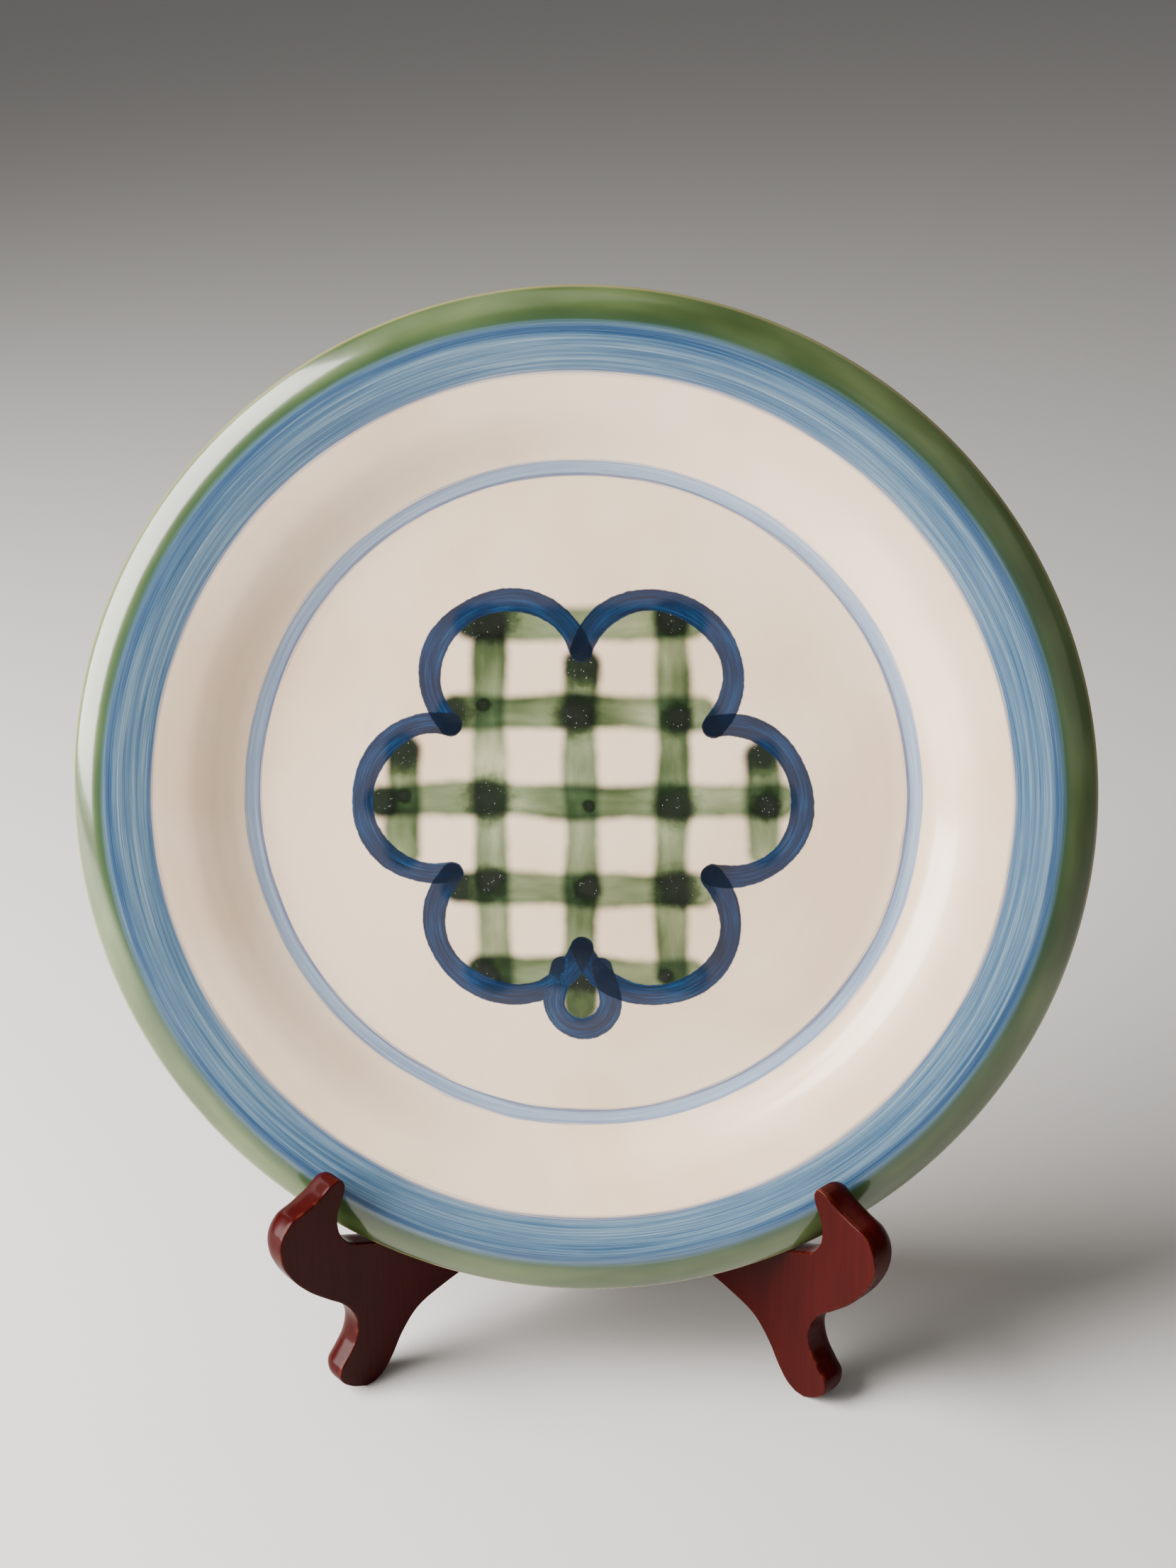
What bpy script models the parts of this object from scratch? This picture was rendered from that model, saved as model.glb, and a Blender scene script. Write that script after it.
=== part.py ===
"""Dinner plate leaning on a folding stand made of two shaped boards and two brass hinges.

Everything is in metres with +Z up. The plate faces -Y and leans back towards +Y. The two
boards of the stand meet at a vertical hinge line behind the plate and spread towards -Y.
"""
import math

import bmesh
import bpy
from mathutils import Matrix, Vector

for old in list(bpy.data.objects):
    bpy.data.objects.remove(old, do_unlink=True)

MM = 0.001

# ---- plate ----------------------------------------------------------------------------
PLATE_RADIUS = 140.0 * MM          # 11 inch dinner plate
RIM_HEIGHT = 22.2 * MM             # foot plane to the widest circle of the rim
PLATE_LEAN = math.radians(13.85)   # plate plane against the vertical
PLATE_Y = 4.6 * MM                 # centre of the widest circle
PLATE_Z = 171.7 * MM
PLATE_SEGMENTS = 72

# half section of the plate: radius, height above the foot plane (mm), eating side first
PLATE_TOP = [(0, 10.4), (45, 10.5), (80, 10.6), (88, 10.8), (92, 11.3), (96, 12.9),
             (100, 15.3), (104, 17.9), (108, 20.1), (113, 21.9), (119, 23.7),
             (125, 25.2), (128, 25.8)]
PLATE_LIP = [(130.5, 26.0), (133, 25.7), (135.5, 24.9), (137.6, 23.9), (139.2, 22.8),
             (140, 21.9), (139.7, 20.6), (138.3, 19.8)]
PLATE_UNDER = [(134, 18.9), (127, 17.3), (118, 14.8), (109, 12.0), (101, 8.4),
               (95, 5.4), (91.2, 3.8)]
PLATE_FOOT = [(90.0, 2.2), (89.2, 0.6), (88.2, 0), (85.4, 0), (84.6, 0.5),
              (83.9, 2.6), (81.5, 3.5), (40, 3.6), (0, 3.6)]

# ---- stand ----------------------------------------------------------------------------
BOARD_SPREAD = math.radians(45.0)  # each board against the YZ plane
HINGE_Y = 33.1 * MM                # vertical hinge line, x = 0
BOARD_INNER = 0.4 * MM             # inner face, measured out from the hinge line
BOARD_THICKNESS = 11.0 * MM        # 7/16 inch board
CURVE_STEPS = 2                    # pieces between two points of a curved stretch

# outline of one board: distance from the hinge line, height (mm). The number after the
# kind is how far the rounded outer edge comes in on that stretch.
BOARD_STRETCHES = [
    ("line", 1.2, [(3.3, 0), (13.0, 0)]),
    ("curve", 2.8, [(13.0, 0), (16.0, 2.6), (20.0, 8.5), (27.0, 15.0), (37.0, 20.2),
                    (49.0, 22.3), (60.0, 20.8), (69.5, 17.8), (75.5, 12.0),
                    (79.5, 5.8), (83.0, 1.8), (86.5, 0)]),
    ("line", 2.0, [(86.5, 0), (89.8, 0)]),
    ("curve", 2.8, [(89.8, 0), (94.6, 2.6), (97.9, 6.2), (98.0, 9.9), (95.2, 13.4),
                    (92.3, 17.3), (91.0, 22.6), (91.9, 27.3), (94.9, 32.2),
                    (99.9, 36.7), (106.0, 42.5), (111.3, 49.6), (114.3, 57.0),
                    (113.9, 63.2), (110.2, 67.9), (104.5, 69.8), (99.5, 71.8)]),
    ("curve", 1.4, [(99.5, 71.8), (95.4, 74.2), (92.8, 74.2), (91.6, 72.0)]),
    ("curve", 2.4, [(91.6, 72.0), (92.3, 68.8), (94.0, 65.6), (95.0, 61.5),
                    (94.4, 56.7), (91.6, 52.4), (86.0, 49.4), (79.5, 47.0),
                    (73.5, 47.2), (67.0, 51.4)]),
    ("line", 2.4, [(67.0, 51.4), (46.6, 72.0)]),
    ("curve", 2.0, [(46.6, 72.0), (41.3, 77.3), (38.1, 84.0)]),
    ("line", 2.0, [(38.1, 84.0), (20.3, 150.5)]),
    ("curve", 2.0, [(20.3, 150.5), (17.1, 155.0), (11.8, 156.8), (6.0, 155.5),
                    (2.9, 151.8), (2.3, 148.0)]),
    ("line", 0.9, [(2.3, 148.0), (2.3, 2.0)]),
    ("curve", 0.9, [(2.3, 2.0), (2.6, 0.6), (3.3, 0)]),
]
# layers of one board: distance out from the inner face, share of the edge rounding
BOARD_LAYERS = [(0.0, "inner"), (0.5, 0.0), (6.5, 0.0), (8.8, 0.15), (10.3, 0.5), (11.0, 1.0)]
INNER_ARRIS = 0.4 * MM

# ---- hinges ---------------------------------------------------------------------------
HINGE_HEIGHT = 25.0 * MM
HINGE_CENTRES = {"upper": 134.0 * MM, "lower": 42.0 * MM}
BARREL_RADIUS = 2.0 * MM
BARREL_BORE = 1.3 * MM
PIN_RADIUS = 1.0 * MM
PIN_HEAD_RADIUS = 1.7 * MM
PIN_HEAD_HEIGHT = 0.7 * MM
PLAY = 0.3 * MM
LEAF_BACK = 1.0 * MM               # leaf plate, distance from the hinge line
LEAF_FRONT = 2.0 * MM
LEAF_INNER = 2.5 * MM              # leaf plate, across the board
LEAF_OUTER = 9.1 * MM
SCREW_ACROSS = 6.1 * MM
SCREW_OFFSET = 8.0 * MM            # above and below the middle of the hinge
SCREW_LENGTH = 8.0 * MM
SCREW_RADIUS = 0.85 * MM
SCREW_HEAD_RADIUS = 1.75 * MM
PILOT_RADIUS = 1.2 * MM
PILOT_END = 10.0 * MM              # from the hinge line


# ---- helpers --------------------------------------------------------------------------
def material(name, colour, roughness, metallic=0.0):
    mat = bpy.data.materials.new(name)
    mat.use_nodes = True
    shader = mat.node_tree.nodes["Principled BSDF"]
    shader.inputs["Base Color"].default_value = (*colour, 1.0)
    shader.inputs["Roughness"].default_value = roughness
    shader.inputs["Metallic"].default_value = metallic
    return mat


def new_object(name, bm, mat=None, origin=Vector((0, 0, 0)), smooth_angle=None):
    """Turn a bmesh given in world coordinates into an object with its own origin."""
    bmesh.ops.remove_doubles(bm, verts=bm.verts, dist=1e-6)
    bmesh.ops.recalc_face_normals(bm, faces=bm.faces)
    bm.transform(Matrix.Translation(-Vector(origin)))
    mesh = bpy.data.meshes.new(name)
    bm.to_mesh(mesh)
    bm.free()
    if mat is not None:
        mesh.materials.append(mat)
    obj = bpy.data.objects.new(name, mesh)
    obj.location = origin
    bpy.context.scene.collection.objects.link(obj)
    if smooth_angle is not None:
        mesh.shade_smooth()
        mesh.set_sharp_from_angle(angle=math.radians(smooth_angle))
    return obj


def boolean(obj, cutter, operation):
    mod = obj.modifiers.new(operation.lower() + "_" + cutter.name, "BOOLEAN")
    mod.operation = operation
    mod.solver = "EXACT"
    mod.object = cutter
    cutter.hide_render = True
    cutter.display_type = "WIRE"


def bake_modifiers(obj, smooth_angle):
    """Keep the evaluated mesh and drop the modifiers and their helper objects."""
    bpy.context.view_layer.update()
    graph = bpy.context.evaluated_depsgraph_get()
    mesh = bpy.data.meshes.new_from_object(obj.evaluated_get(graph))
    helpers = [m.object for m in obj.modifiers if m.type == "BOOLEAN"]
    obj.modifiers.clear()
    obj.data = mesh
    for helper in helpers:
        bpy.data.objects.remove(helper, do_unlink=True)
    mesh.shade_smooth()
    mesh.set_sharp_from_angle(angle=math.radians(smooth_angle))


def lathe(section, segments, place):
    """Closed solid from a half section (radius, height); ends may lie on the axis."""
    bm = bmesh.new()
    rings = []
    for radius, height in section:
        if radius < 1e-9:
            rings.append([bm.verts.new(place @ Vector((0, 0, height)))])
            continue
        ring = []
        for k in range(segments):
            turn = 2 * math.pi * k / segments
            point = Vector((radius * math.cos(turn), radius * math.sin(turn), height))
            ring.append(bm.verts.new(place @ point))
        rings.append(ring)
    for a, b in zip(rings, rings[1:]):
        for k in range(segments):
            j = (k + 1) % segments
            if len(a) == 1:
                bm.faces.new((a[0], b[k], b[j]))
            elif len(b) == 1:
                bm.faces.new((a[k], b[0], a[j]))
            else:
                bm.faces.new((a[k], b[k], b[j], a[j]))
    return bm


def box(corner_a, corner_b, place):
    bm = bmesh.new()
    size = Vector(corner_b) - Vector(corner_a)
    middle = (Vector(corner_a) + Vector(corner_b)) / 2
    bmesh.ops.create_cube(bm, size=1.0)
    bm.transform(place @ Matrix.Translation(middle) @ Matrix.Diagonal((*size, 1.0)))
    return bm


def curve_through(points, steps):
    """Points of a smooth curve that passes through all the given points."""
    pts = [Vector(p) for p in points]
    pts = [2 * pts[0] - pts[1]] + pts + [2 * pts[-1] - pts[-2]]
    out = []
    for i in range(1, len(pts) - 2):
        p0, p1, p2, p3 = pts[i - 1:i + 3]
        for k in range(steps):
            t = k / steps
            a = 2 * p1 + (p2 - p0) * t
            b = (2 * p0 - 5 * p1 + 4 * p2 - p3) * t * t
            c = (3 * p1 - p0 - 3 * p2 + p3) * t * t * t
            out.append((a + b + c) / 2)
    return out


def board_outline():
    """Outline points with the edge rounding that belongs to each of them."""
    points, rounding = [], []
    for kind, inset, given in BOARD_STRETCHES:
        steps = CURVE_STEPS if kind == "curve" else 1
        for point in curve_through(given, steps):
            points.append(point * MM)
            rounding.append(inset * MM)
    return points, rounding


def inward_normals(points):
    normals = []
    count = len(points)
    for i in range(count):
        before = (points[i] - points[i - 1]).normalized()
        after = (points[(i + 1) % count] - points[i]).normalized()
        along = (before + after).normalized()
        normals.append(Vector((-along.y, along.x)))
    return normals


def board_frame(side):
    """Board coordinates (along, across, up) to the world, side +1 right or -1 left."""
    sin, cos = math.sin(BOARD_SPREAD), math.cos(BOARD_SPREAD)
    return Matrix(((side * sin, side * cos, 0, 0),
                   (-cos, sin, 0, HINGE_Y),
                   (0, 0, 1, 0),
                   (0, 0, 0, 1)))


def screw_points():
    """Heights of the four screws of one board."""
    return {"upper_top": HINGE_CENTRES["upper"] + SCREW_OFFSET,
            "upper_bottom": HINGE_CENTRES["upper"] - SCREW_OFFSET,
            "lower_top": HINGE_CENTRES["lower"] + SCREW_OFFSET,
            "lower_bottom": HINGE_CENTRES["lower"] - SCREW_OFFSET}


def along_axis(across, up):
    """Turn a lathe axis (+Z) into the direction along the board."""
    turn = Matrix.Rotation(math.radians(90), 4, "Y")
    return Matrix.Translation((0, across, up)) @ turn


# ---- pieces ---------------------------------------------------------------------------
def build_plate(mat):
    section = PLATE_TOP + PLATE_LIP + PLATE_UNDER + PLATE_FOOT
    section = [(r * MM, z * MM - RIM_HEIGHT) for r, z in section]
    sin, cos = math.sin(PLATE_LEAN), math.cos(PLATE_LEAN)
    centre = Vector((0, PLATE_Y, PLATE_Z))
    place = Matrix(((1, 0, 0, centre.x),
                    (0, sin, -cos, centre.y),
                    (0, cos, sin, centre.z),
                    (0, 0, 0, 1)))
    bm = lathe(section, PLATE_SEGMENTS, place)
    new_object("plate", bm, mat, origin=centre, smooth_angle=40)


def build_board(name, side, mat):
    points, rounding = board_outline()
    normals = inward_normals(points)
    frame = board_frame(side)
    bm = bmesh.new()
    layers = []
    for depth, share in BOARD_LAYERS:
        layer = []
        for point, normal, inset in zip(points, normals, rounding):
            amount = INNER_ARRIS if share == "inner" else inset * share
            spot = point + normal * amount
            local = Vector((spot.x, BOARD_INNER + depth * MM, max(spot.y, 0.0)))
            layer.append(bm.verts.new(frame @ local))
        layers.append(layer)
    count = len(points)
    for a, b in zip(layers, layers[1:]):
        for i in range(count):
            j = (i + 1) % count
            bm.faces.new((a[i], a[j], b[j], b[i]))
    bm.faces.new(layers[0])
    bm.faces.new(layers[-1])
    obj = new_object(name, bm, mat, origin=Vector((0, HINGE_Y, 0)), smooth_angle=30)
    for key, height in screw_points().items():
        section = [(0, 0), (PILOT_RADIUS, 0), (PILOT_RADIUS, PILOT_END), (0, PILOT_END)]
        drill = lathe(section, 16, frame @ along_axis(SCREW_ACROSS, height))
        boolean(obj, new_object("drill_" + key, drill), "DIFFERENCE")
    bake_modifiers(obj, 30)


def build_leaf(name, side, centre, knuckles, mat):
    """One hinge leaf: plate, tabs and knuckles in one body, bored and countersunk."""
    frame = board_frame(side)
    low = centre - HINGE_HEIGHT / 2
    high = centre + HINGE_HEIGHT / 2
    origin = Vector((0, HINGE_Y, centre))
    plate = box((LEAF_BACK, LEAF_INNER, low), (LEAF_FRONT, LEAF_OUTER, high), frame)
    obj = new_object(name, plate, mat, origin=origin)
    for k, (a, b) in enumerate(knuckles):
        bottom = low + a * HINGE_HEIGHT + (PLAY / 2 if a > 0 else 0)
        top = low + b * HINGE_HEIGHT - (PLAY / 2 if b < 1 else 0)
        section = [(0, bottom), (BARREL_RADIUS, bottom), (BARREL_RADIUS, top), (0, top)]
        barrel = lathe(section, 24, frame)
        boolean(obj, new_object(name + "_barrel_%d" % k, barrel), "UNION")
        reach = LEAF_INNER + 1.0 * MM
        tab = box((LEAF_BACK + 0.05 * MM, 0.2 * MM, bottom),
                  (LEAF_FRONT, reach, top), frame)
        boolean(obj, new_object(name + "_tab_%d" % k, tab), "UNION")
    section = [(0, low - MM), (BARREL_BORE, low - MM), (BARREL_BORE, high + MM),
               (0, high + MM)]
    boolean(obj, new_object(name + "_bore", lathe(section, 24, frame)), "DIFFERENCE")
    for k, height in enumerate((centre - SCREW_OFFSET, centre + SCREW_OFFSET)):
        wide = PILOT_RADIUS + (LEAF_FRONT - LEAF_BACK)
        section = [(0, LEAF_BACK - 0.5 * MM), (wide + 0.5 * MM, LEAF_BACK - 0.5 * MM),
                   (PILOT_RADIUS, LEAF_FRONT), (PILOT_RADIUS, LEAF_FRONT + MM),
                   (0, LEAF_FRONT + MM)]
        sink = lathe(section, 24, frame @ along_axis(SCREW_ACROSS, height))
        boolean(obj, new_object(name + "_sink_%d" % k, sink), "DIFFERENCE")
    bake_modifiers(obj, 30)


def build_pin(name, centre, mat):
    low = centre - HINGE_HEIGHT / 2 - PLAY
    high = centre + HINGE_HEIGHT / 2 + PLAY
    head = PIN_HEAD_HEIGHT
    section = [(0, low - head), (PIN_HEAD_RADIUS * 0.7, low - head),
               (PIN_HEAD_RADIUS, low - head * 0.6), (PIN_HEAD_RADIUS, low),
               (PIN_RADIUS, low), (PIN_RADIUS, high), (PIN_HEAD_RADIUS, high),
               (PIN_HEAD_RADIUS, high + head * 0.6),
               (PIN_HEAD_RADIUS * 0.7, high + head), (0, high + head)]
    place = Matrix.Translation((0, HINGE_Y, 0))
    bm = lathe(section, 24, place)
    new_object(name, bm, mat, origin=Vector((0, HINGE_Y, centre)), smooth_angle=30)


def build_screw(name, side, height, mat):
    """Countersunk slotted wood screw, its head level with the back of the leaf."""
    frame = board_frame(side)
    start = LEAF_BACK
    taper = SCREW_HEAD_RADIUS - SCREW_RADIUS
    section = [(0, start), (SCREW_HEAD_RADIUS, start),
               (SCREW_RADIUS, start + taper), (SCREW_RADIUS, start + SCREW_LENGTH * 0.75),
               (SCREW_RADIUS * 0.15, start + SCREW_LENGTH), (0, start + SCREW_LENGTH)]
    place = frame @ along_axis(SCREW_ACROSS, height)
    origin = place @ Vector((0, 0, start))
    obj = new_object(name, lathe(section, 16, place), mat, origin=origin)
    half = SCREW_HEAD_RADIUS + 0.2 * MM
    slot = box((start - 0.2 * MM, SCREW_ACROSS - half, height - 0.22 * MM),
               (start + 0.4 * MM, SCREW_ACROSS + half, height + 0.22 * MM), frame)
    boolean(obj, new_object(name + "_slot", slot), "DIFFERENCE")
    bake_modifiers(obj, 30)


stoneware = material("glazed_stoneware", (0.78, 0.74, 0.68), 0.3)
timber_left = material("left_board_wood", (0.22, 0.05, 0.03), 0.4)
timber_right = material("right_board_wood", (0.22, 0.05, 0.03), 0.4)
brass_left = material("left_leaf_brass", (0.75, 0.58, 0.28), 0.35, 1.0)
brass_right = material("right_leaf_brass", (0.72, 0.55, 0.27), 0.35, 1.0)
brass_pin = material("hinge_pin_brass", (0.7, 0.52, 0.25), 0.3, 1.0)
brass_screw = material("screw_brass", (0.72, 0.56, 0.27), 0.3, 1.0)

build_plate(stoneware)
build_board("left_board", -1, timber_left)
build_board("right_board", 1, timber_right)

for level, middle in HINGE_CENTRES.items():
    outer_knuckles = [(0.0, 1 / 3), (2 / 3, 1.0)]
    middle_knuckle = [(1 / 3, 2 / 3)]
    build_leaf(level + "_left_leaf", -1, middle, outer_knuckles, brass_left)
    build_leaf(level + "_right_leaf", 1, middle, middle_knuckle, brass_right)
    build_pin(level + "_hinge_pin", middle, brass_pin)

for key, height in screw_points().items():
    build_screw("left_screw_" + key, -1, height, brass_screw)
    build_screw("right_screw_" + key, 1, height, brass_screw)
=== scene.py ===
"""Looks for the dinner plate on its folding stand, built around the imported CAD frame."""
import math
import random

import bpy
import numpy as np
from mathutils import Matrix, Vector
from mathutils.geometry import delaunay_2d_cdt


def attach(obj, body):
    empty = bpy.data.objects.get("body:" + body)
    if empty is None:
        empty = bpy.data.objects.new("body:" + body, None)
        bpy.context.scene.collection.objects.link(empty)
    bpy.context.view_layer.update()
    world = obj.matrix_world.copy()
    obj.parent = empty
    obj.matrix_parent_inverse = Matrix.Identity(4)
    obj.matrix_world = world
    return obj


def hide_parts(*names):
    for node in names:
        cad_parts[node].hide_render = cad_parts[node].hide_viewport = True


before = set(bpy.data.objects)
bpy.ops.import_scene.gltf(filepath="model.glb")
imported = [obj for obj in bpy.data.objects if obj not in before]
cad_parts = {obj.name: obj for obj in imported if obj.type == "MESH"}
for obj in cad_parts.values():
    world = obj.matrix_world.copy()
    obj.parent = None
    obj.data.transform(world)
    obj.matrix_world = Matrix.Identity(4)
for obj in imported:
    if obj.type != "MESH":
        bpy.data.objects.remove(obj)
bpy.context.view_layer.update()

# lengths below are in millimetres, and MM turns them into the scene's metres
MM = 0.001
PLATE_CENTRE = Vector((0, 4.6, 171.7)) * MM
PLATE_LEAN = math.radians(13.85)
RIM_HEIGHT = 22.2
HINGE_Y = 33.1
BOARD_SPREAD = math.radians(45.0)
BOARD_INNER = 0.4
BOARD_OUTER = 11.4
chance = random.Random(5)


# ---- small helpers --------------------------------------------------------------------
def smooth_path(points, steps):
    """Centripetal Catmull-Rom curve through 2D points, as an array."""
    pts = [np.array(p, float) for p in points]
    pts = [2 * pts[0] - pts[1]] + pts + [2 * pts[-1] - pts[-2]]
    out = []
    for i in range(1, len(pts) - 2):
        p0, p1, p2, p3 = pts[i - 1:i + 3]
        t0 = 0.0
        t1 = t0 + math.sqrt(np.linalg.norm(p1 - p0))
        t2 = t1 + math.sqrt(np.linalg.norm(p2 - p1))
        t3 = t2 + math.sqrt(np.linalg.norm(p3 - p2))
        for k in range(steps):
            t = t1 + (t2 - t1) * k / steps
            a1 = (t1 - t) / (t1 - t0) * p0 + (t - t0) / (t1 - t0) * p1
            a2 = (t2 - t) / (t2 - t1) * p1 + (t - t1) / (t2 - t1) * p2
            a3 = (t3 - t) / (t3 - t2) * p2 + (t - t2) / (t3 - t2) * p3
            b1 = (t2 - t) / (t2 - t0) * a1 + (t - t0) / (t2 - t0) * a2
            b2 = (t3 - t) / (t3 - t1) * a2 + (t - t1) / (t3 - t1) * a3
            out.append((t2 - t) / (t2 - t1) * b1 + (t - t1) / (t2 - t1) * b2)
    out.append(pts[-2])
    return np.array(out)


def along_path(points, path):
    """Nearest place on an open path, for each point: its distance, the distance with the
    side as sign, the length along the path (running on past its ends) and the whole length."""
    seg = path[1:] - path[:-1]
    length = np.linalg.norm(seg, axis=1)
    start = np.concatenate([[0], np.cumsum(length)])
    best = np.full(len(points), 1e9)
    side = np.zeros(len(points))
    along = np.zeros(len(points))
    for k in range(len(seg)):
        d = seg[k] / max(length[k], 1e-9)
        rel = points - path[k]
        t = rel @ d
        clamped = np.clip(t, 0, length[k])
        near = rel - clamped[:, None] * d
        dist = np.linalg.norm(near, axis=1)
        take = dist < best
        best[take] = dist[take]
        cross = d[0] * rel[:, 1] - d[1] * rel[:, 0]
        side[take] = np.sign(cross[take]) * dist[take]
        low = -1e9 if k == 0 else 0
        high = 1e9 if k == len(seg) - 1 else length[k]
        along[take] = start[k] + np.clip(t, low, high)[take]
    return best, side, along, start[-1]


def put(mesh, name, values):
    """Store one number or one vector for each vertex, for the shaders to read."""
    values = np.asarray(values, np.float32)
    kind = "FLOAT" if values.ndim == 1 else "FLOAT_VECTOR"
    data = mesh.attributes.new(name, kind, "POINT").data
    data.foreach_set("value" if values.ndim == 1 else "vector", values.ravel())


def new_piece(name, verts, faces, mat):
    """Smooth-shaded mesh object with one material, linked to the scene."""
    mesh = bpy.data.meshes.new(name)
    mesh.from_pydata(np.asarray(verts).tolist(), [], faces)
    mesh.update()
    mesh.materials.append(mat)
    mesh.shade_smooth()
    obj = bpy.data.objects.new(name, mesh)
    bpy.context.scene.collection.objects.link(obj)
    return obj


# ---- node building --------------------------------------------------------------------
class Tree:
    """Short names for the shader nodes used below."""

    def __init__(self, name):
        self.mat = bpy.data.materials.new(name)
        self.mat.use_nodes = True
        self.nodes = self.mat.node_tree.nodes
        self.links = self.mat.node_tree.links
        self.shader = self.nodes["Principled BSDF"]

    def plug(self, value, socket):
        """Link an output to a socket, or set the socket to a constant."""
        if isinstance(value, bpy.types.NodeSocket):
            self.links.new(value, socket)
        else:
            socket.default_value = value

    def attr(self, name, vector=False):
        node = self.nodes.new("ShaderNodeAttribute")
        node.attribute_name = name
        return node.outputs["Vector" if vector else "Fac"]

    def math(self, op, a, b):
        node = self.nodes.new("ShaderNodeMath")
        node.operation = op
        for value, socket in zip((a, b), node.inputs):
            self.plug(value, socket)
        return node.outputs[0]

    def add(self, a, b):
        return self.math("ADD", a, b)

    def mul(self, a, b):
        return self.math("MULTIPLY", a, b)

    def step(self, x, low, high, out_low=0.0, out_high=1.0):
        """Smooth ramp of x from low to high."""
        node = self.nodes.new("ShaderNodeMapRange")
        node.interpolation_type = "SMOOTHSTEP"
        for value, socket in zip((x, low, high, out_low, out_high), node.inputs):
            self.plug(value, socket)
        return node.outputs[0]

    def band(self, x, a, b, soft):
        """1 between a and b, fading over soft at both sides."""
        up = self.step(x, a - soft, a + soft)
        down = self.step(x, b - soft, b + soft, 1.0, 0.0)
        return self.mul(up, down)

    def scaled(self, vector, scale, offset=(0, 0, 0)):
        node = self.nodes.new("ShaderNodeMapping")
        self.links.new(vector, node.inputs["Vector"])
        node.inputs["Scale"].default_value = scale
        node.inputs["Location"].default_value = offset
        return node.outputs[0]

    def join(self, x, y, z=0.0):
        node = self.nodes.new("ShaderNodeCombineXYZ")
        for value, socket in zip((x, y, z), node.inputs):
            self.plug(value, socket)
        return node.outputs[0]

    def split(self, vector):
        node = self.nodes.new("ShaderNodeSeparateXYZ")
        self.links.new(vector, node.inputs[0])
        return node.outputs

    def noise(self, vector, scale, detail=3.0, rough=0.5, warp=0.0):
        node = self.nodes.new("ShaderNodeTexNoise")
        self.links.new(vector, node.inputs["Vector"])
        node.inputs["Scale"].default_value = scale
        node.inputs["Detail"].default_value = detail
        node.inputs["Roughness"].default_value = rough
        node.inputs["Distortion"].default_value = warp
        return node.outputs["Fac"]

    def cells(self, vector, scale):
        """Distance to the nearest of many scattered points."""
        node = self.nodes.new("ShaderNodeTexVoronoi")
        self.links.new(vector, node.inputs["Vector"])
        node.inputs["Scale"].default_value = scale
        return node.outputs["Distance"]

    def mix(self, amount, a, b, mode="MIX"):
        node = self.nodes.new("ShaderNodeMix")
        node.data_type = "RGBA"
        node.blend_type = mode
        self.plug(amount, node.inputs[0])
        # a Mix node's colour sockets are its inputs 6 and 7 and its output 2
        for value, index in ((a, 6), (b, 7)):
            if isinstance(value, tuple):
                value = (*value, 1.0)
            self.plug(value, node.inputs[index])
        return node.outputs[2]

    def ramp(self, value, stops):
        """Colour ramp with a (place, colour) pair for each stop."""
        node = self.nodes.new("ShaderNodeValToRGB")
        ramp = node.color_ramp
        while len(ramp.elements) < len(stops):
            ramp.elements.new(0.5)
        for element, (place, colour) in zip(ramp.elements, stops):
            element.position = place
            element.color = (*colour, 1.0)
        self.links.new(value, node.inputs[0])
        return node.outputs[0]

    def bump(self, height, strength, distance):
        node = self.nodes.new("ShaderNodeBump")
        node.inputs["Strength"].default_value = strength
        node.inputs["Distance"].default_value = distance
        self.links.new(height, node.inputs["Height"])
        return node.outputs[0]

    def set(self, **values):
        """Plug the shader's inputs by name, with _ for a space."""
        for name, value in values.items():
            self.plug(value, self.shader.inputs[name.replace("_", " ")])


def srgb(r, g, b):
    """Linear colour from the usual 0 to 255 numbers."""
    def one(v):
        v /= 255
        return v / 12.92 if v <= 0.04045 else ((v + 0.055) / 1.055) ** 2.4
    return (one(r), one(g), one(b))


# ---- the painted plate ----------------------------------------------------------------
PLATE_SECTION = [(0, 10.4), (20, 10.42), (45, 10.5), (80, 10.6), (88, 10.8), (92, 11.3),
                 (96, 12.9), (100, 15.3), (104, 17.9), (108, 20.1), (113, 21.9),
                 (119, 23.7), (125, 25.2), (128, 25.8), (130.5, 26.0), (133, 25.7),
                 (135.5, 24.9), (137.6, 23.9), (139.2, 22.8), (140, 21.9), (139.7, 20.6),
                 (138.3, 19.8), (134, 18.9), (127, 17.3), (118, 14.8), (109, 12.0),
                 (101, 8.4), (95, 5.4), (91.2, 3.8), (90.0, 2.2), (89.2, 0.6), (88.2, 0),
                 (85.4, 0), (84.6, 0.5), (83.9, 2.6), (81.5, 3.5), (40, 3.6), (0, 3.6)]

# the painted clover: a plain one of six even, round lobes on a short stalk
LOBE_COUNT = 6
LOBE_REACH = 40.0                   # middle of the plate to the middle of a lobe
LOBE_RADIUS = 21.5
LOBE_OVERLAP = 0.02                 # radians that a stroke runs past its neighbour
LOBE_SWAY = 0.35                    # by which a stroke strays from a true arc
HUB_RADIUS = 34.0                   # reaches from the middle into every lobe
STALK_TOP = -48.0
STALK_NECK = 5.6
STALK_RADIUS = 8.0
STALK_END = -66.0
OUTLINE_WIDTH = 6.3
# the check inside it: evenly spaced washes, each cut to the clover
CHECK_STEP = 25.0
CHECK_WIDTH = 11.4
CHECK_MARGIN = 5.0
CHECK_SWAY = 0.6
CHECK_RAGGED = (-1.0, 2.0)          # by which a wash's ends differ from the margin
POOL_FALLOFF = 2.2                  # how sharply a pool of paint ends
WELL_RADIUS = 72.0                  # all the painting of the middle lies inside this


def heading(turn):
    """Unit vector in the plate's plane."""
    return np.array([math.cos(turn), math.sin(turn)])


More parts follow.
